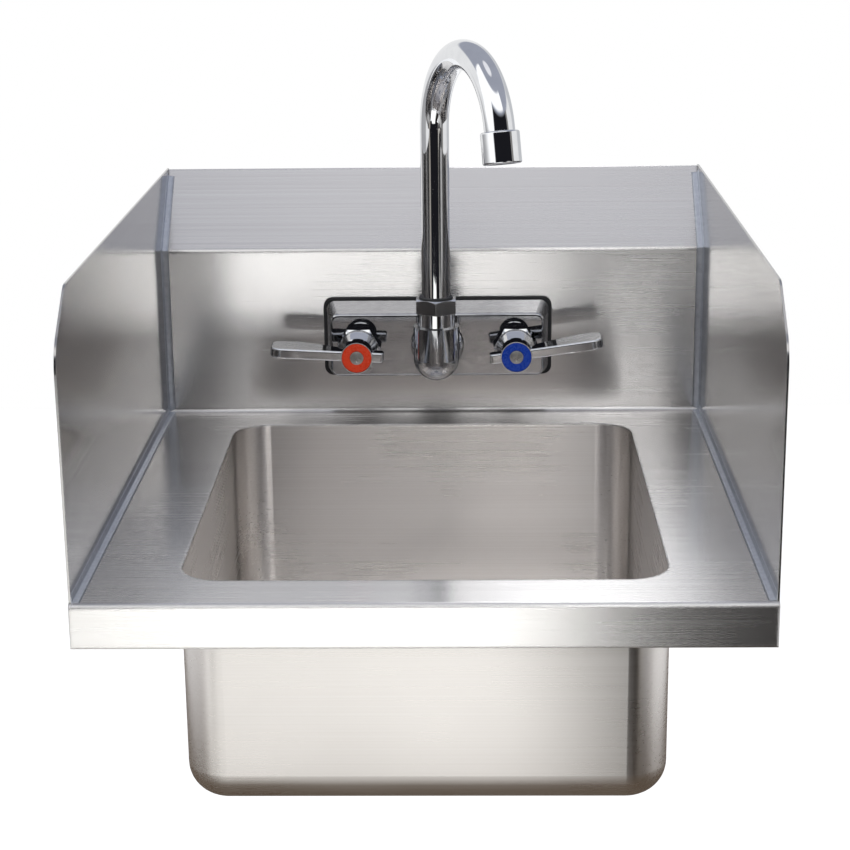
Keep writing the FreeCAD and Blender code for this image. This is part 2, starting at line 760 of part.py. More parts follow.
def inlet(name, side):
    """A threaded inlet shank through the splash, held by its washer and nut."""
    across = f"tap_offset + {side} * valve_spacing / 2"
    shank = turned(name + "_inlet_shank", [
        ("shank_bore_radius", "-shank_length"),
        ("inlet_thread_radius", "-shank_length"),
        ("inlet_thread_radius", "-shank_length + inlet_thread_length"),
        ("shank_radius", "-shank_length + inlet_thread_length"),
        ("shank_radius", "gasket_thick + shank_socket"),
        ("shank_bore_radius", "gasket_thick + shank_socket"),
    ])
    round_edges(shank, "inlet_chamfer", lambda edge: level(edge, "-shank_length")
                and near(edge.BoundBox.XLength, value("2 * inlet_thread_radius")), "Chamfer")
    place(shank, across, 0, "tap_height", FACING_USER)
    seat = "(-sheet_gauge)"
    inner = "shank_radius + fit_gap"
    nut_seat = f"({seat} - shank_washer_thick)"
    washer = ring(name + "_shank_washer", inner, "shank_washer_radius", nut_seat, seat)
    place(washer, across, 0, "tap_height", FACING_USER)
    nut = new_body(name + "_shank_nut")
    hexagon = new_sketch(nut, "XY_Plane", nut_seat)
    draw_hexagon(hexagon, "shank_nut_flats")
    pad(nut, hexagon, "shank_nut_thick", reverse=True)
    bore(nut, inner, f"{nut_seat} - shank_nut_thick", nut_seat)
    place(nut, across, 0, "tap_height", FACING_USER)


def valve(name, side, turn):
    """The ceramic seat and disc, the stem with its seal, and the bonnet over them."""
    spot = (f"tap_offset + {side} * valve_spacing / 2", f"-{BODY_FRONT}", "tap_height")
    floor = "(-valve_bore_depth)"
    disc_low = f"({floor} + seat_thick)"
    stem_low = f"({disc_low} + disc_thick)"
    roof = f"({stem_low} + stem_flange + fit_gap)"
    tip = f"({HUB_BACK} + stem_grip)"
    seat = ring(name + "_valve_seat", "inlet_port_radius", "valve_bore_radius - fit_gap", floor, disc_low)
    place(seat, *spot, FACING_USER)
    disc = ring(name + "_valve_disc", "inlet_port_radius / 2", "disc_radius", disc_low, stem_low)
    place(disc, *spot, turn)
    bell_end = "(bonnet_hex + bonnet_bell)"
    shoulder = "(bonnet_hex + bonnet_shoulder)"
    bonnet = new_body(name + "_bonnet")
    hexagon = new_sketch(bonnet, "XY_Plane")
    draw_hexagon(hexagon, "bonnet_flats")
    pad(bonnet, hexagon, "bonnet_hex")
    chamfer_hexagon(bonnet, "bonnet_flats", "bonnet_hex")
    turn_profile(bonnet, "Revolution", [
        ("0", disc_low),
        ("valve_bore_radius - fit_gap", disc_low),
        ("valve_bore_radius - fit_gap", "bonnet_hex / 2"),
        ("bonnet_bell_radius", "bonnet_hex / 2"),
        ("bonnet_bell_radius", shoulder),
        ("bonnet_neck_radius", bell_end),
        ("0", bell_end),
    ])
    round_edges(bonnet, "bonnet_shoulder_radius", lambda edge: level(edge, shoulder))
    bore(bonnet, "disc_radius + fit_gap", disc_low, roof)
    bore(bonnet, "stem_radius + fit_gap", roof, bell_end)
    outlets = new_sketch(bonnet, "YZ_Plane")
    draw_circle(outlets, 0, f"({disc_low} + {roof}) / 2", "mixing_bore_radius / 2")
    cut(bonnet, outlets, "3 * valve_bore_radius", middle=True)
    place(bonnet, *spot, FACING_USER)
    groove = "(seal_groove_height - seal_groove_width / 2)"
    stem = turned(name + "_stem", [
        ("0", stem_low),
        ("disc_radius", stem_low),
        ("disc_radius", f"{stem_low} + stem_flange"),
        ("stem_radius", f"{stem_low} + stem_flange"),
        ("stem_radius", groove),
        ("stem_radius - seal_groove_depth", groove),
        ("stem_radius - seal_groove_depth", f"{groove} + seal_groove_width"),
        ("stem_radius", f"{groove} + seal_groove_width"),
        ("stem_radius", tip),
        ("0", tip),
    ])
    bore(stem, "handle_screw_shank + fit_gap", f"{tip} - handle_screw_reach", tip)
    place(stem, *spot, turn)
    seal = doc.addObject("Part::Torus", name + "_stem_seal")
    seal.Label = name + "_stem_seal"
    bind(seal, Radius1="stem_radius - seal_groove_depth / 2", Radius2="seal_groove_depth / 2 - press_gap")
    place(seal, spot[0], f"-{BODY_FRONT} - seal_groove_height", spot[2], turn)


def handle(name, side, turn):
    """A lever on a round hub, with its index ring and the screw that holds it."""
    spot = (f"tap_offset + {side} * valve_spacing / 2", f"-{BODY_FRONT}", "tap_height")
    face = f"({HUB_BACK} + hub_length)"
    recess = f"({face} - index_recess)"
    web = f"({HUB_BACK} + stem_grip)"
    lever = new_body(name + "_lever")
    front = f"({face} - lever_front_gap)"
    root = f"({front} - lever_root_width)"
    back = f"({front} - lever_tip_width)"
    blade = new_sketch(lever, "XZ_Plane")
    draw_polygon(blade, [
        ("-lever_tail", front),
        ("-lever_tail", root),
        ("hub_radius", root),
        ("lever_neck_start", f"{front} - lever_neck_width"),
        ("lever_tip_start", back),
        ("lever_length", back),
        ("lever_length", front),
    ])
    pad(lever, blade, "lever_thick", middle=True)
    round_edges(lever, "lever_tip_radius", lambda edge: along(edge, "Y") and at(edge, x="lever_length"))
    round_edges(lever, "lever_tail_radius", lambda edge: along(edge, "Y") and at(edge, x="-lever_tail"))
    half = value("lever_thick / 2")
    round_edges(lever, "lever_edge_radius", lambda edge: near(edge.BoundBox.YMin, half)
                or near(edge.BoundBox.YMax, -half))
    turn_profile(lever, "Revolution", [
        ("0", HUB_BACK),
        ("hub_back_radius", HUB_BACK),
        ("hub_radius", root),
        ("hub_radius", face),
        ("0", face),
    ])
    bore(lever, "index_radius + fit_gap", recess, face)
    bore(lever, "stem_radius + press_gap", HUB_BACK, f"{web} + press_gap")
    bore(lever, "handle_screw_shank + fit_gap", web, recess)
    place(lever, *spot, turn)
    index = ring(name + "_index_ring", "handle_screw_radius + fit_gap", "index_radius", recess, face)
    round_edges(index, "index_chamfer", lambda edge: level(edge, face), "Chamfer")
    place(index, *spot, turn)
    head = f"({recess} + handle_screw_head)"
    screw = turned(name + "_handle_screw", [
        ("0", f"{web} - handle_screw_reach + hub_gap"),
        ("handle_screw_shank", f"{web} - handle_screw_reach + hub_gap"),
        ("handle_screw_shank", recess),
        ("handle_screw_radius", recess),
        ("handle_screw_radius", head),
        ("0", head),
    ])
    round_edges(screw, "handle_screw_dome", lambda edge: level(edge, head))
    place(screw, *spot, turn)


def spout_nut():
    """The nut that holds the spout's flange on the elbow, and the wiper ring in its mouth."""
    roof_low = "(spout_nut_collar + spout_nut_hex - spout_nut_roof)"
    ledge = f"({roof_low} + spout_nut_ledge)"
    top = "(spout_nut_collar + spout_nut_hex)"
    mouth = "(tube_radius + fit_gap + spout_wiper_width + fit_gap)"
    nut = new_body("spout_nut")
    hexagon = new_sketch(nut, "XY_Plane", "spout_nut_collar")
    draw_hexagon(hexagon, "spout_nut_flats")
    pad(nut, hexagon, "spout_nut_hex")
    chamfer_hexagon(nut, "spout_nut_flats", top)
    collar = new_sketch(nut, "XY_Plane")
    draw_circle(collar, 0, 0, "spout_nut_collar_radius")
    pad(nut, collar, "spout_nut_collar")
    bore(nut, "collar_thread_radius + fit_gap", 0, roof_low)
    bore(nut, "tube_radius + 2 * fit_gap", roof_low, ledge)
    bore(nut, mouth, ledge, top)
    place(nut, "tap_offset", "-spout_stand_off", ELBOW_TOP, "rotation(vector(0; 0; 1); 30)")
    wiper = ring("spout_wiper_ring", "tube_radius + fit_gap", f"{mouth} - fit_gap",
                 ledge, f"{top} + spout_wiper_stand")
    place(wiper, "tap_offset", "-spout_stand_off", ELBOW_TOP)


def spout():
    """The swivelling gooseneck with its brass foot, seal and aerator."""
    heading = "rotation(vector(0; 0; 1); spout_heading - 90)"
    groove = "(-spout_groove_drop)"
    groove_floor = "tube_radius - spout_groove_depth"
    foot = turned("spout_foot", [
        ("ferrule_bore_radius", "-spigot_length"),
        ("tube_radius", "-spigot_length"),
        ("tube_radius", f"{groove} - spout_groove_width"),
        (groove_floor, f"{groove} - spout_groove_width"),
        (groove_floor, groove),
        ("tube_radius", groove),
        ("tube_radius", "0"),
        ("ferrule_flange_radius", "0"),
        ("ferrule_flange_radius", "ferrule_flange"),
        ("ferrule_bore_radius", "ferrule_flange"),
    ])
    place(foot, "tap_offset", "-spout_stand_off", COLLAR_TOP, heading)
    seal = doc.addObject("Part::Torus", "spout_seal")
    seal.Label = "spout_seal"
    bind(seal, Radius1="tube_radius - spout_groove_depth / 2", Radius2="spout_groove_depth / 2 - press_gap")
    seal_height = f"{COLLAR_TOP} - spout_groove_drop - spout_groove_width / 2"
    place(seal, "tap_offset", "-spout_stand_off", seal_height, heading)
    gooseneck(heading)
    aerator()


def gooseneck(heading):
    """A tube bent in one plane: a straight riser, one bend and a short straight outlet."""
    body = new_body("gooseneck_tube")
    rise = f"(spout_bend_height - {TUBE_START})"
    bend_end = ("spout_bend_radius * (1 - cos(spout_bend_angle))",
                f"{rise} + spout_bend_radius * sin(spout_bend_angle)")
    tube_end = (f"{bend_end[0]} + spout_outlet_length * sin(spout_bend_angle)",
                f"{bend_end[1]} + spout_outlet_length * cos(spout_bend_angle)")
    crown = ("spout_bend_radius * (1 - cos(spout_bend_angle / 2))",
             f"{rise} + spout_bend_radius * sin(spout_bend_angle / 2)")
    stops = [FreeCAD.Vector(value(x), value(y), 0)
             for x, y in ((0, 0), (0, rise), crown, bend_end, tube_end)]
    path = new_sketch(body, "XZ_Plane")
    path.addGeometry(Part.LineSegment(stops[0], stops[1]))
    path.addGeometry(Part.Arc(stops[1], stops[2], stops[3]))
    path.addGeometry(Part.LineSegment(stops[3], stops[4]))
    tie_point(path, 0, 1, 0, 0)
    tie_point(path, 0, 2, 0, rise)
    tie_point(path, 2, 1, *bend_end)
    tie_point(path, 2, 2, *tube_end)
    path.addConstraint(Sketcher.Constraint("Coincident", 0, 2, 1, 2))
    path.addConstraint(Sketcher.Constraint("Coincident", 1, 1, 2, 1))
    index = path.addConstraint(Sketcher.Constraint("Radius", 1, value("spout_bend_radius")))
    path.setExpression(f"Constraints[{index}]", bound("spout_bend_radius"))
    section = new_sketch(body, "XY_Plane")
    draw_circle(section, 0, 0, "tube_radius")
    draw_circle(section, 0, 0, "tube_radius - tube_wall")
    sweep = body.newObject("PartDesign::AdditivePipe", "sweep")
    sweep.Profile = section
    sweep.Spine = (path, ["Edge1", "Edge2", "Edge3"])
    doc.recompute()
    place(body, "tap_offset", "-spout_stand_off", TUBE_START, heading)


def aerator():
    """The housing screwed over the tube's end, with its washer and perforated insert."""
    reach = "(spout_bend_radius * (1 - cos(spout_bend_angle)) + spout_outlet_length * sin(spout_bend_angle))"
    height = ("spout_bend_height + spout_bend_radius * sin(spout_bend_angle)"
              " + spout_outlet_length * cos(spout_bend_angle)")
    spot = (f"tap_offset + {reach} * sin(spout_heading)",
            f"-spout_stand_off - {reach} * cos(spout_heading)", height)
    turn = ("rotation(vector(0; 0; 1); spout_heading - 90)"
            " * rotation(vector(0; 1; 0); spout_bend_angle + 180)")
    low = "(aerator_lap - aerator_length)"
    inner = "tube_radius + fit_gap"
    housing = turned("aerator_housing", [
        (inner, "aerator_lap"),
        ("aerator_radius", "aerator_lap"),
        ("aerator_radius", low),
        ("aerator_mouth_radius - aerator_lip", low),
        ("aerator_mouth_radius - aerator_lip", f"{low} + aerator_lip"),
        ("aerator_mouth_radius", f"{low} + aerator_lip"),
        ("aerator_mouth_radius", "0"),
        (inner, "0"),
    ])
    outer_edges = (lambda edge: edge.BoundBox.XLength > value("2 * aerator_radius") - 0.01
                   and (level(edge, low) or level(edge, "aerator_lap")))
    round_edges(housing, "aerator_chamfer", outer_edges)
    place(housing, *spot, turn)
    insert_top = "(-aerator_washer_thick)"
    washer = ring("aerator_washer", "waterway_radius", "aerator_mouth_radius - fit_gap", insert_top, "0")
    place(washer, *spot, turn)
    insert_low = f"({low} + aerator_lip)"
    insert = turned("aerator_insert", [
        ("0", insert_low),
        ("aerator_mouth_radius - fit_gap", insert_low),
        ("aerator_mouth_radius - fit_gap", insert_top),
        ("0", insert_top),
    ])
    hole = new_sketch(insert, "XY_Plane", f"{insert_top} + aerator_insert_gap")
    draw_circle(hole, "aerator_hole_ring", 0, "aerator_hole_radius")
    first = cut(insert, hole, "aerator_length")
    polar_holes(insert, first, "aerator_hole_count")
    place(insert, *spot, turn)


def check_and_write():
    doc.recompute()
    for item in doc.Objects:
        if "Invalid" in item.State or "Error" in item.State:
            raise RuntimeError(f"{item.Label}: {item.State}")
    os.makedirs("parts", exist_ok=True)
    for item in parts:
        if item.Shape.isNull() or not item.Shape.isValid():
            raise RuntimeError(item.Label + ": bad shape")
        item.Shape.exportStep(f"parts/{item.Label}.step")


def main():
    fill_sheet()
    deck = deck_and_backsplash()
    bowl()
    side_splash("left_side_splash", -1)
    side_splash("right_side_splash", 1)
    weld("left_weld", -1, deck)
    weld("right_weld", 1, deck)
    wall_bracket()
    drain()
    strainer_basket()
    tap_gasket()
    tap_body()
    levers = (("hot", -1, "180 - hot_lever_lift"), ("cold", 1, "cold_lever_lift"))
    for name, side, angle in levers:
        turn = f"rotation(vector(0; 1; 0); -({angle})) * {FACING_USER}"
        inlet(name, side)
        valve(name, side, turn)
        handle(name, side, turn)
    spout_nut()
    spout()
    check_and_write()


main()
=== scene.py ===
import json
import math

import bmesh
import bpy
from mathutils import Matrix, Vector


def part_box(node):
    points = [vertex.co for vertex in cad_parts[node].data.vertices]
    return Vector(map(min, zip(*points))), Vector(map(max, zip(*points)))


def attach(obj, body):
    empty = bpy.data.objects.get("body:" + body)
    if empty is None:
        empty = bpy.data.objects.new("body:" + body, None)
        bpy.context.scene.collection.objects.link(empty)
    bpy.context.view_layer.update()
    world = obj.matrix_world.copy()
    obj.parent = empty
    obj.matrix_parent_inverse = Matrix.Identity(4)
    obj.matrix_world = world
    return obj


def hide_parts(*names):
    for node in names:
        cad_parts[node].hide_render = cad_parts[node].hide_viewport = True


# Looks for the hand basin: finishes for every CAD node, handle screws with cross recesses,
# threaded inlets, a white studio with a dark front, and the camera of the photograph.
# Lengths are metres in the CAD frame: +X to the user's right, +Y into the wall, +Z up.

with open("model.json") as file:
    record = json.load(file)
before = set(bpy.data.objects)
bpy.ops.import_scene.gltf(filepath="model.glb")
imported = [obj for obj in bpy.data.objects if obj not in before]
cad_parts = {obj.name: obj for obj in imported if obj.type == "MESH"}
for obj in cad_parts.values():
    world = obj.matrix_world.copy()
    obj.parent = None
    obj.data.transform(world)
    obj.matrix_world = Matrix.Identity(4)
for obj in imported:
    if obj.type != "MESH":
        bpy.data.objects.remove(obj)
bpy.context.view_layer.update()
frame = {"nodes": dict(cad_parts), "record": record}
nodes = frame["nodes"]

# Camera, fitted to the straight edges of the basin
CAMERA_SPOT = (0.02317, -1.35315, 0.25812)
CAMERA_PITCH = 0.2832
CAMERA_YAW = -0.0222
CAMERA_ROLL = -0.0112
SENSOR_WIDTH = 36.0
FOCAL_PIXELS = 2017.194
PICTURE_PIXELS = 850

# Studio: the basin hangs with its deck at the usual height over the floor
BACKDROP = (1.0, 1.0, 1.0)
FAR_WHITE = 0.92
FLOOR_HEIGHT = -0.97
FLOOR_REACH = 3.0
FLOOR_SHADE = 0.3
FLOOR_VARIETY = 1.1
FLOOR_SCALE = 40.0
FLOOR_ROUGHNESS = 0.8
FLOOR_GLOW = 0.85
TABLE_HEIGHT = -0.33
TABLE_X_REACH = (-0.45, 0.42)
TABLE_Y_REACH = (-1.6, 0.5)
# Behind this edge the table is brown: painted shadow of the basin
TABLE_SHADOW_EDGE = -0.54
TABLE_SIDE = 0.11
TABLE_FADE = 0.075
# The table glows as painted light: white in front, dark to the right and painted shadow under the basin
TABLE_GLOW = (1.4, 1.4, 1.37)
TABLE_DARK = (0.012, 0.010, 0.009)
TABLE_PAINTED_SHADOW = (0.12, 0.09, 0.065)
LAMP_TARGET = (0.0, -0.2, -0.05)

# Handle screws
HEAD_HEIGHT = 0.0022
HEAD_DOME = 0.0008
SHANK_RADIUS = 0.0019
CROSS_REACH = 0.0026
CROSS_HALF_WIDTH = 0.00055
CROSS_DEPTH = 0.0012
CROSS_TAPER = 0.7
CROSS_ARMS = 4
HEAD_STEPS = (0.0, 0.35, 0.7, 1.0)

# Inlets: half-inch pipe thread, 14 turns to the inch
INLET_BORE = 0.007
INLET_STEPS = 48
THREAD_LENGTH = 0.027
THREAD_RADIUS = 0.01045
THREAD_ROOT = 0.0094
THREAD_PITCH = 0.0254 / 14

# Built meshes
JOIN_DISTANCE = 0.000001
SHARP_ANGLE = math.radians(35)

# Finishes: bumps are depths in metres, scales and stretches are waves to the metre,
# shares are parts of one and widths are times those of the finest marks
BEVEL_SAMPLES = 4
METAL_BUMP = 0.00003
SKIN_BUMP = 0.00002
STEEL_STRENGTH = 0.025
TURNED_STRENGTH = 0.03
SKIN_STRENGTH = 0.25
# A face whose normal lies this much along X is a side face
SIDE_FACING = 0.7
# A quarter turn draws the highlights out across the grain
GRAIN_TURN = 0.25
LINE_STRETCH = 2.0
STREAK_STRETCH = 0.8
STREAK_WIDTH = 5
LINE_SHARE = 0.8
STEEL_VARIETY = 0.02
STEEL_SMUDGE = (-0.02, 0.03)
STEEL_SMUDGE_SCALE = 9.0
TURNED_SMUDGE_SCALE = 30.0
SKIN_SHARE = 0.6
BROAD_WIDTH = 20


class Graph:
    """Short calls to build the node tree of a material or of the world."""

    # Places of the first input, second input and result among the Mix node's sockets
    MIX_COLOURS = (6, 7, 2)
    MIX_VECTORS = (4, 5, 1)

    def __init__(self, tree):
        self.tree = tree

    def feed(self, socket, source):
        if isinstance(source, bpy.types.NodeSocket):
            self.tree.links.new(source, socket)
        else:
            socket.default_value = source

    def node(self, kind, inputs=None, **settings):
        made = self.tree.nodes.new("ShaderNode" + kind)
        for name, setting in settings.items():
            setattr(made, name, setting)
        for name, source in (inputs or {}).items():
            self.feed(made.inputs[name], source)
        return made

    def math(self, operation, *sources):
        return self.node("Math", dict(enumerate(sources)), operation=operation).outputs[0]

    def mix(self, kind, places, share, first, second):
        made = self.node("Mix", data_type=kind)
        first_place, second_place, result_place = places
        self.feed(made.inputs["Factor"], share)
        self.feed(made.inputs[first_place], first)
        self.feed(made.inputs[second_place], second)
        return made.outputs[result_place]

    def mix_colour(self, share, first, second):
        return self.mix("RGBA", self.MIX_COLOURS, share, first, second)

    def mix_vector(self, share, first, second):
        return self.mix("VECTOR", self.MIX_VECTORS, share, first, second)

    def scaled(self, vector, scale):
        return self.node("Mapping", {"Vector": vector, "Scale": scale}).outputs["Vector"]

    def noise(self, vector, scale, detail=3.0):
        inputs = {"Vector": vector, "Scale": scale, "Detail": detail}
        return self.node("TexNoise", inputs).outputs["Fac"]

    def blend(self, first, second, first_share):
        """Two values added, with shares that make one."""
        return self.math("ADD", self.math("MULTIPLY", first, first_share),
                         self.math("MULTIPLY", second, 1.0 - first_share))

    def spread(self, value, low, high, start=0.3, end=0.7):
        """A noise value stretched to the range from low to high."""
        made = self.node("MapRange", {"Value": value, "From Min": start, "From Max": end,
                                      "To Min": low, "To Max": high})
        return made.outputs["Result"]

    def step(self, value, edge, soft):
        """0 below the edge and 1 above it, with a soft change between."""
        inputs = {"Value": value, "From Min": edge - soft, "From Max": edge + soft}
        return self.node("MapRange", inputs, interpolation_type="SMOOTHSTEP").outputs["Result"]

    def band(self, value, low, high, soft):
        """1 between low and high, 0 outside."""
        return self.math("SUBTRACT", self.step(value, low, soft), self.step(value, high, soft))

    def round_edges(self, radius):
        return self.node("Bevel", {"Radius": radius}, samples=BEVEL_SAMPLES).outputs["Normal"]

    def bump(self, height, strength, distance, normal):
        inputs = {"Height": height, "Strength": strength, "Distance": distance, "Normal": normal}
        return self.node("Bump", inputs).outputs["Normal"]

    def shades(self, value, dark, light):
        return self.mix_colour(self.spread(value, 0.0, 1.0), (*dark, 1), (*light, 1))


def new_material(name, metallic, **constants):
    """A material, its graph, its shader and the coordinates of the piece, in metres."""
    made = bpy.data.materials.new(name)
    made.use_nodes = True
    graph = Graph(made.node_tree)
    shader = made.node_tree.nodes["Principled BSDF"]
    shader.inputs["Metallic"].default_value = metallic
    for socket, constant in constants.items():
        shader.inputs[socket.replace("_", " ")].default_value = constant
    place = graph.node("TexCoord").outputs["Object"]
    return made, graph, shader, place


def brushed_steel(name, dark, light, roughness, anisotropy, grain=1500.0, bevel=0.0005):
    """Sheet steel with fine lines that run level along each face."""
    made, graph, shader, place = new_material(name, 1.0, Anisotropic=anisotropy,
                                              Anisotropic_Rotation=GRAIN_TURN)
    facing = graph.node("NewGeometry").outputs["Normal"]
    across = graph.node("SeparateXYZ", {"Vector": facing}).outputs["X"]
    on_side = graph.math("GREATER_THAN", graph.math("ABSOLUTE", across), SIDE_FACING)

    def drawn_out(along, cross):
        """Coordinates drawn out along X, or along Y on the side faces."""
        return graph.mix_vector(on_side, graph.scaled(place, (along, cross, cross)),
                                graph.scaled(place, (cross, along, cross)))

    lines = graph.noise(drawn_out(LINE_STRETCH, grain), 1.0, 2.0)
    streaks = graph.noise(drawn_out(STREAK_STRETCH, grain / STREAK_WIDTH), 1.0, 2.0)
    smudge = graph.noise(place, STEEL_SMUDGE_SCALE, 4.0)
    mixed = graph.blend(lines, streaks, LINE_SHARE)
    graph.feed(shader.inputs["Base Color"], graph.shades(mixed, dark, light))
    rough = graph.spread(mixed, roughness - STEEL_VARIETY, roughness + STEEL_VARIETY)
    rough = graph.math("ADD", rough, graph.spread(smudge, *STEEL_SMUDGE))
    graph.feed(shader.inputs["Roughness"], rough)
    normal = graph.bump(mixed, STEEL_STRENGTH, METAL_BUMP, graph.round_edges(bevel))
    graph.feed(shader.inputs["Normal"], normal)
    tangent = graph.mix_vector(on_side, (1.0, 0.0, 0.0), (0.0, 1.0, 0.0))
    graph.feed(shader.inputs["Tangent"], tangent)
    return made


def turned_metal(name, dark, light, roughness, scale, bevel=0.0002):
    """Metal without grain: plate, turned or ground, with faint marks."""
    made, graph, shader, place = new_material(name, 1.0)
    marks = graph.noise(place, scale, 5.0)
    smudge = graph.noise(place, TURNED_SMUDGE_SCALE)
    graph.feed(shader.inputs["Base Color"], graph.shades(marks, dark, light))
    low, high = roughness
    rough = graph.math("ADD", graph.spread(marks, low, high),
                       graph.spread(smudge, 0.0, (high - low) / 2))
    graph.feed(shader.inputs["Roughness"], rough)
    normal = graph.bump(marks, TURNED_STRENGTH, METAL_BUMP, graph.round_edges(bevel))
    graph.feed(shader.inputs["Normal"], normal)
    return made


def moulded(name, dark, light, roughness, scale, bevel=0.0001):
    """Plastic, rubber, fibre or ceramic with a fine skin."""
    made, graph, shader, place = new_material(name, 0.0)
    skin_marks = graph.noise(place, scale, 4.0)
    broad = graph.noise(place, scale / BROAD_WIDTH)
    mixed = graph.blend(skin_marks, broad, SKIN_SHARE)
    graph.feed(shader.inputs["Base Color"], graph.shades(mixed, dark, light))
    graph.feed(shader.inputs["Roughness"], graph.spread(mixed, *roughness))
    normal = graph.bump(skin_marks, SKIN_STRENGTH, SKIN_BUMP, graph.round_edges(bevel))
    graph.feed(shader.inputs["Normal"], normal)
    return made


FINISHES = {
    # How each is made, its dark and light colour, its roughness and the rest of the maker's values
    "stainless": (brushed_steel, (0.68, 0.665, 0.655), (0.77, 0.76, 0.75), 0.25, 0.75, 1500.0, 0.002),
    # The side panels' steel, painted darker than the deck's as painted shade
    "side_steel": (brushed_steel, (0.47, 0.46, 0.455), (0.53, 0.525, 0.52), 0.14, 0.7),
    "drawn_steel": (brushed_steel, (0.735, 0.705, 0.68), (0.785, 0.76, 0.74), 0.28, 0.8, 900.0),
    "polished_weld": (turned_metal, (0.56, 0.59, 0.65), (0.68, 0.71, 0.77), (0.36, 0.44), 300.0, 0.0008),
    "zinc_steel": (turned_metal, (0.50, 0.51, 0.53), (0.68, 0.69, 0.70), (0.28, 0.45), 160.0),
    "drain_steel": (turned_metal, (0.64, 0.63, 0.62), (0.76, 0.755, 0.75), (0.10, 0.18), 300.0),
    "rubber": (moulded, (0.010, 0.010, 0.011), (0.030, 0.030, 0.031), (0.45, 0.65), 900.0),
    "fibre": (moulded, (0.22, 0.11, 0.06), (0.36, 0.20, 0.12), (0.7, 0.85), 1400.0),
    "brass": (turned_metal, (0.62, 0.45, 0.20), (0.78, 0.61, 0.32), (0.16, 0.30), 350.0),
    "washer_steel": (turned_metal, (0.48, 0.48, 0.49), (0.64, 0.64, 0.65), (0.25, 0.38), 350.0),
    "ceramic": (moulded, (0.80, 0.79, 0.76), (0.90, 0.89, 0.87), (0.12, 0.22), 900.0),
    "chrome": (turned_metal, (0.76, 0.77, 0.79), (0.83, 0.84, 0.855), (0.015, 0.05), 140.0),
    # The tap casting's chrome, painted darker than the other chrome as painted shade
    "cast_chrome": (turned_metal, (0.46, 0.465, 0.48), (0.53, 0.535, 0.55), (0.02, 0.06), 140.0),
    "red_plastic": (moulded, (0.54, 0.038, 0.012), (0.66, 0.054, 0.018), (0.22, 0.34), 1500.0),
    "blue_plastic": (moulded, (0.004, 0.030, 0.25), (0.008, 0.046, 0.35), (0.22, 0.34), 1500.0),
    "screw_steel": (turned_metal, (0.74, 0.72, 0.68), (0.88, 0.86, 0.82), (0.34, 0.44), 700.0),
    "grey_plastic": (moulded, (0.25, 0.26, 0.27), (0.36, 0.37, 0.38), (0.4, 0.55), 1200.0),
}
# Nodes with a finish of their own: the bowl is drawn, the side panels are brushed finer and painted darker
# as painted shade and the tap's casting is chrome painted darker as painted shade
OWN_FINISH = {"bowl": "drawn_steel", "left_side_splash": "side_steel",
              "right_side_splash": "side_steel", "tap_body": "cast_chrome"}
finish = {name: make(name + "_finish", *look) for name, (make, *look) in FINISHES.items()}


def dress_nodes():
    """The finish of its material slot, or one of its own, for every CAD node."""
    for row in frame["record"]["subparts"]:
        chosen = OWN_FINISH.get(row["node"], row["material_slot"])
        for slot in nodes[row["node"]].material_slots:
            slot.material = finish[chosen]


def link(name, data):
    made = bpy.data.objects.new(name, data)
    bpy.context.scene.collection.objects.link(made)
    return made


def turned_rings(turns, rings, middle, start, way):
    """Points of rings round an axis along Y, from each ring's reach and depth at every turn."""
    points = []
    for ring in rings:
        points.append([(middle.x + reach * math.cos(turn), start + way * depth,
                        middle.z + reach * math.sin(turn))
                       for turn, (reach, depth) in zip(turns, ring)])
    return points


def skin(name, rings, capped):
    """A mesh over rings of points, each of which ends where it began."""
    shape = bmesh.new()
    loops = [[shape.verts.new(point) for point in ring] for ring in rings]
    for inner, outer in zip(loops, loops[1:]):
        for here in range(1, len(inner)):
            shape.faces.new((inner[here - 1], outer[here - 1], outer[here], inner[here]))
    if capped:
        shape.faces.new(loops[0][:-1])
        shape.faces.new(loops[-1][:-1][::-1])
    bmesh.ops.remove_doubles(shape, verts=shape.verts, dist=JOIN_DISTANCE)
    bmesh.ops.recalc_face_normals(shape, faces=shape.faces)
    mesh = bpy.data.meshes.new(name)
    shape.to_mesh(mesh)
    shape.free()
    mesh.shade_smooth()
    mesh.set_sharp_from_angle(angle=SHARP_ANGLE)
    return mesh


def replace_node(name, mesh, node, slot, body):
    """A built piece in place of a CAD node, riding on its body."""
    mesh.materials.append(finish[slot])
    piece = link(name, mesh)
    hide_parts(node)
    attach(piece, body)


def cross_edge(turn):
    """How far the cross recess reaches from the screw's middle at a turn about its axis."""
    off = abs((turn + math.pi / 4) % (math.pi / 2) - math.pi / 4)
    if math.tan(off) * CROSS_REACH <= CROSS_HALF_WIDTH:
        return CROSS_REACH / math.cos(off)
    return CROSS_HALF_WIDTH / math.sin(off)


def cross_turns(steps=4):
    """Turns once round the screw, with every corner of the cross among them."""
    corner = math.atan2(CROSS_HALF_WIDTH, CROSS_REACH)
    marks = (-math.pi / 4, -corner, corner, math.pi / 4)
    turns = []
    for arm in range(CROSS_ARMS):
        for start, end in zip(marks, marks[1:]):
            turns += [arm * math.pi / 2 + start + (end - start) * step / steps for step in range(steps)]
    return turns + [turns[0] + 2 * math.pi]


def screw_rings(turns, radius, length):
    """Reach and depth of the screw's rings, from the recess over the domed head to the shank's tip."""
    edges = [cross_edge(turn) for turn in turns]
    rings = [[(edge * CROSS_TAPER, CROSS_DEPTH) for edge in edges]]
    for share in HEAD_STEPS:
        reaches = [edge + (radius - edge) * share for edge in edges]
        rings.append([(reach, HEAD_DOME * (reach / radius) ** 2) for reach in reaches])
    for reach, depth in ((radius, HEAD_HEIGHT), (SHANK_RADIUS, HEAD_HEIGHT), (SHANK_RADIUS, length)):
        rings.append([(reach, depth)] * len(turns))
    return rings


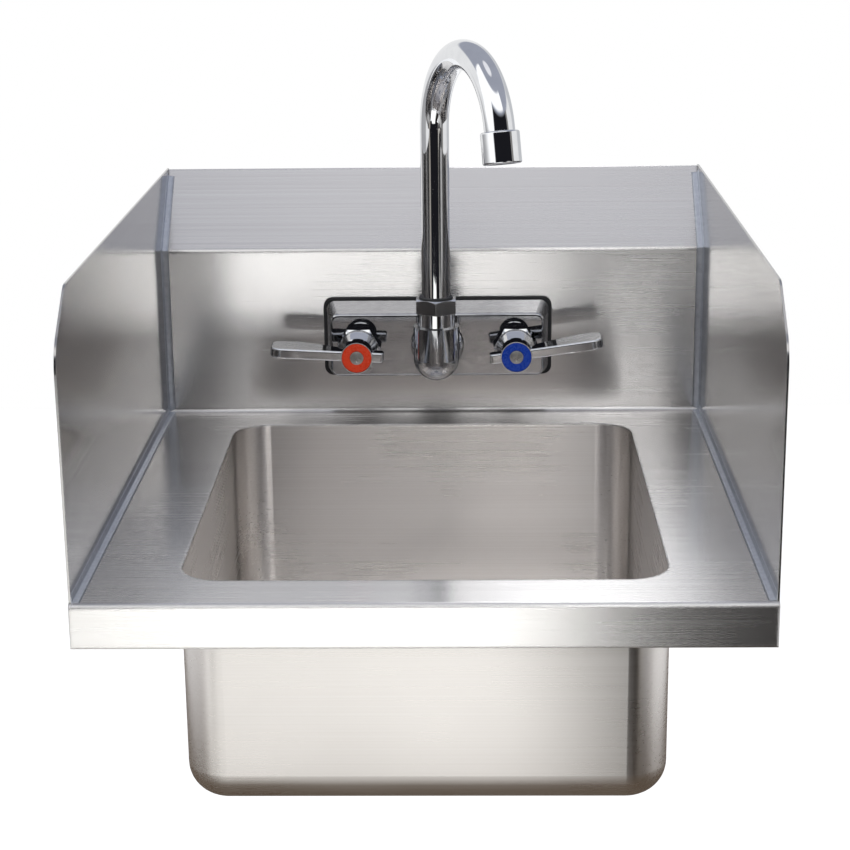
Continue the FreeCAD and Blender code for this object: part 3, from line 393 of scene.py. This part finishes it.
def add_handle_screw(node, body):
    """A domed screw with a cross recess, in place of its plain solid."""
    low, high = (Vector(corner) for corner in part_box(node))
    turns = cross_turns()
    rings = screw_rings(turns, (high.x - low.x) / 2, high.y - low.y)
    points = turned_rings(turns, rings, (low + high) / 2, low.y, 1)
    replace_node(node + "_head", skin(node + "_head", points, True), node, "screw_steel", body)


def thread_reach(turn, depth):
    """How far the thread stands from the axis at a turn round it and a depth from the inlet's end."""
    crest = 2 * abs((depth / THREAD_PITCH + turn / (2 * math.pi)) % 1.0 - 0.5)
    reach = THREAD_ROOT + (THREAD_RADIUS - THREAD_ROOT) * crest
    return min(reach, THREAD_ROOT + depth)


def inlet_rings(turns, radius, length):
    """Reach and depth of the inlet's rings: the end, crests and roots of the thread, shank and bore."""
    rings = [[(INLET_BORE, 0.0)] * len(turns)]
    last_half = 2 * math.ceil(THREAD_LENGTH / THREAD_PITCH + 1)
    for half in range(last_half + 1):
        depths = [THREAD_PITCH * (half / 2 - turn / (2 * math.pi)) for turn in turns]
        depths = [min(max(depth, 0.0), THREAD_LENGTH) for depth in depths]
        rings.append([(thread_reach(turn, depth), depth) for turn, depth in zip(turns, depths)])
    for reach, depth in ((radius, THREAD_LENGTH), (radius, length), (INLET_BORE, length), (INLET_BORE, 0.0)):
        rings.append([(reach, depth)] * len(turns))
    return rings


def add_inlet(node, body):
    """An inlet shank with its pipe thread, in place of its plain solid."""
    low, high = (Vector(corner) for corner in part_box(node))
    turns = [2 * math.pi * step / INLET_STEPS for step in range(INLET_STEPS + 1)]
    rings = inlet_rings(turns, (high.x - low.x) / 2, high.y - low.y)
    points = turned_rings(turns, rings, (low + high) / 2, high.y, -1)
    replace_node(node + "_threaded", skin(node + "_threaded", points, False), node, "brass", body)


def add_sheet(name, x_reach, y_reach, height):
    """A level rectangle of the studio, and the node tree of its new material."""
    mesh = bpy.data.meshes.new(name)
    left, right = x_reach
    front, back = y_reach
    corners = [(left, front, height), (right, front, height), (right, back, height), (left, back, height)]
    mesh.from_pydata(corners, [], [(0, 1, 2, 3)])
    made = bpy.data.materials.new(name)
    made.use_nodes = True
    made.cycles.emission_sampling = "NONE"
    mesh.materials.append(made)
    sheet = link(name, mesh)
    return sheet, made.node_tree


def seen_ray(graph):
    """1 for rays that show the backdrop: from the camera, off metal or through glass."""
    path = graph.node("LightPath").outputs
    first = graph.math("MAXIMUM", path["Is Camera Ray"], path["Is Glossy Ray"])
    return graph.math("MAXIMUM", first, path["Is Transmission Ray"])


def add_floor():
    """A white floor that still takes the basin's shadow."""
    reach = (-FLOOR_REACH, FLOOR_REACH)
    _, tree = add_sheet("floor", reach, reach, FLOOR_HEIGHT)
    graph = Graph(tree)
    shader = tree.nodes["Principled BSDF"]
    place = graph.node("TexCoord").outputs["Object"]
    pale = tuple(FLOOR_SHADE * part for part in BACKDROP)
    paler = tuple(FLOOR_VARIETY * part for part in pale)
    marks = graph.noise(place, FLOOR_SCALE)
    graph.feed(shader.inputs["Base Color"], graph.shades(marks, pale, paler))
    shader.inputs["Roughness"].default_value = FLOOR_ROUGHNESS
    strength = graph.math("MULTIPLY", seen_ray(graph), FLOOR_GLOW)
    glow = graph.node("Emission", {"Color": (*BACKDROP, 1), "Strength": strength})
    shown = graph.node("AddShader", {0: shader.outputs["BSDF"], 1: glow.outputs["Emission"]})
    graph.feed(tree.nodes["Material Output"].inputs["Surface"], shown.outputs["Shader"])


def add_table():
    """A table in front of the basin that glows white as painted light, with painted shadow under the basin
    and dark to the right, that only reflections show.
    """
    table, tree = add_sheet("table", TABLE_X_REACH, TABLE_Y_REACH, TABLE_HEIGHT)
    table.visible_camera = False
    table.visible_diffuse = False
    table.visible_shadow = False
    graph = Graph(tree)
    place = graph.node("TexCoord").outputs["Object"]
    parts = graph.node("SeparateXYZ", {"Vector": place}).outputs
    # Painted shadow of the basin on the table, behind the shadow's front edge
    painted_shadow = graph.step(parts["Y"], TABLE_SHADOW_EDGE, TABLE_FADE)
    right = graph.step(parts["X"], TABLE_SIDE, TABLE_FADE)
    colour = graph.mix_colour(right, (*TABLE_GLOW, 1), (*TABLE_DARK, 1))
    colour = graph.mix_colour(painted_shadow, colour, (*TABLE_PAINTED_SHADOW, 1))
    glow = graph.node("Emission", {"Color": colour})
    graph.feed(tree.nodes["Material Output"].inputs["Surface"], glow.outputs["Emission"])


SURROUNDINGS = (
    # What metal sees far round the basin, each over the ones before it: name, colour,
    # turn from the front (positive to the right), rise and softness of the edges in degrees
    ("right_back", (0.62, 0.63, 0.65), (115, 170), (-100, 27), 8),
    ("left_low", (0.42, 0.42, 0.43), (-125, -70), (-60, -3), 4),
    ("ceiling", (0.38, 0.40, 0.47), (-200, 200), (28, 79), 3),
    ("overhead_light", (0.95, 0.95, 0.99), (-200, 200), (79, 100), 3),
    ("dark_room", (0.012, 0.012, 0.015), (-40, 62), (-100, 30), 3),
    ("doorway", (0.25, 0.24, 0.23), (62, 72), (-100, 30), 2),
    ("low_strip", (0.72, 0.68, 0.62), (30, 44), (-60, 2), 2),
    ("front_softbox", (1.3, 1.3, 1.3), (-97, 48), (34, 56), 3),
    ("left_softbox", (1.3, 1.3, 1.3), (-97, -42), (0, 36), 3),
)


def add_world():
    """A white backdrop for the camera, and the studio round the basin for everything else."""
    world = bpy.data.worlds.new("studio")
    bpy.context.scene.world = world
    world.use_nodes = True
    graph = Graph(world.node_tree)
    way = graph.node("TexCoord").outputs["Generated"]
    parts = graph.node("SeparateXYZ", {"Vector": way}).outputs
    turn = graph.math("ARCTAN2", parts["X"], graph.math("MULTIPLY", parts["Y"], -1.0))
    turn = graph.math("DEGREES", turn)
    rise = graph.math("DEGREES", graph.math("ARCSINE", parts["Z"]))
    colour = (*(FAR_WHITE * part for part in BACKDROP), 1)
    for _, shade, turns, rises, soft in SURROUNDINGS:
        share = graph.math("MULTIPLY", graph.band(turn, *turns, soft), graph.band(rise, *rises, soft))
        colour = graph.mix_colour(share, colour, (*shade, 1))
    path = graph.node("LightPath").outputs
    shown = graph.mix_colour(path["Is Camera Ray"], colour, (*BACKDROP, 1))
    graph.feed(world.node_tree.nodes["Background"].inputs["Color"], shown)


SHEET = ("deck_and_backsplash",)
BOWL = ("bowl",)
LAMPS = (
    # Name, turn from the front, rise, distance, width, height, watts and the nodes it lights:
    # with no nodes named it lights all that isn't metal
    ("overhead_softbox", 0, 84, 1.6, 1.8, 1.2, 7.0, ()),
    ("left_softbox", -75, 26, 1.6, 0.9, 1.2, 5.0, ()),
    ("front_softbox", 5, 35, 1.6, 1.2, 0.8, 14.0, ()),
    ("right_fill", 5.4, 24, 5.0, 0.24, 2.0, 7.0, SHEET),
    ("left_fill", -10, 24, 5.0, 0.6, 2.0, 4.0, SHEET),
    ("middle_fill", -1, 31, 5.0, 1.0, 0.7, 2.5, SHEET),
    ("low_fill", -4, -12, 1.3, 0.5, 0.12, 1.5, SHEET),
    ("back_light", 176, 42, 6.0, 0.8, 3.4, 20.0, SHEET),
    ("back_fill", 180, 40, 1.5, 1.6, 0.7, 1.0, SHEET),
    ("bowl_light", 4, 17, 1.5, 0.35, 0.45, 4.5, BOWL),
    ("bowl_right_light", 75, 48, 1.3, 0.5, 0.4, 2.5, BOWL),
    ("bowl_left_light", -75, 48, 1.3, 0.5, 0.4, 2.5, BOWL),
)


def add_lamp(name, turn, rise, distance, width, height, watts, lit):
    """A rectangular lamp that faces the basin and that the camera doesn't show."""
    data = bpy.data.lights.new(name, "AREA")
    data.shape = "RECTANGLE"
    data.size = width
    data.size_y = height
    data.energy = watts
    lamp = link(name, data)
    turn = math.radians(turn)
    rise = math.radians(rise)
    away = Vector((math.sin(turn) * math.cos(rise), -math.cos(turn) * math.cos(rise), math.sin(rise)))
    lamp.location = Vector(LAMP_TARGET) + distance * away
    lamp.rotation_euler = away.to_track_quat("Z", "Y").to_euler()
    lamp.visible_camera = False
    lamp.visible_glossy = bool(lit)
    if lit:
        receivers = bpy.data.collections.new(name + "_receivers")
        for node in lit:
            receivers.objects.link(nodes[node])
        lamp.light_linking.receiver_collection = receivers


def add_camera():
    """The photograph's camera, from its place, its turns and its focal length in pixels."""
    data = bpy.data.cameras.new("camera")
    data.sensor_width = SENSOR_WIDTH
    data.lens = FOCAL_PIXELS / PICTURE_PIXELS * SENSOR_WIDTH
    camera = link("camera", data)
    ahead = Vector((math.sin(CAMERA_YAW) * math.cos(CAMERA_PITCH),
                    math.cos(CAMERA_YAW) * math.cos(CAMERA_PITCH), -math.sin(CAMERA_PITCH)))
    level = Vector((math.cos(CAMERA_YAW), -math.sin(CAMERA_YAW), 0.0))
    upright = level.cross(ahead)
    side = math.cos(CAMERA_ROLL) * level + math.sin(CAMERA_ROLL) * upright
    top = math.cos(CAMERA_ROLL) * upright - math.sin(CAMERA_ROLL) * level
    turn = Matrix((side, top, -ahead)).transposed().to_4x4()
    camera.matrix_world = Matrix.Translation(CAMERA_SPOT) @ turn
    bpy.context.scene.camera = camera


dress_nodes()
for tap_side in ("hot", "cold"):
    add_handle_screw(tap_side + "_handle_screw", tap_side + "_handle")
    add_inlet(tap_side + "_inlet_shank", "basin")
add_floor()
add_table()
add_world()
for lamp_values in LAMPS:
    add_lamp(*lamp_values)
add_camera()
bpy.context.scene.view_settings.view_transform = "Standard"
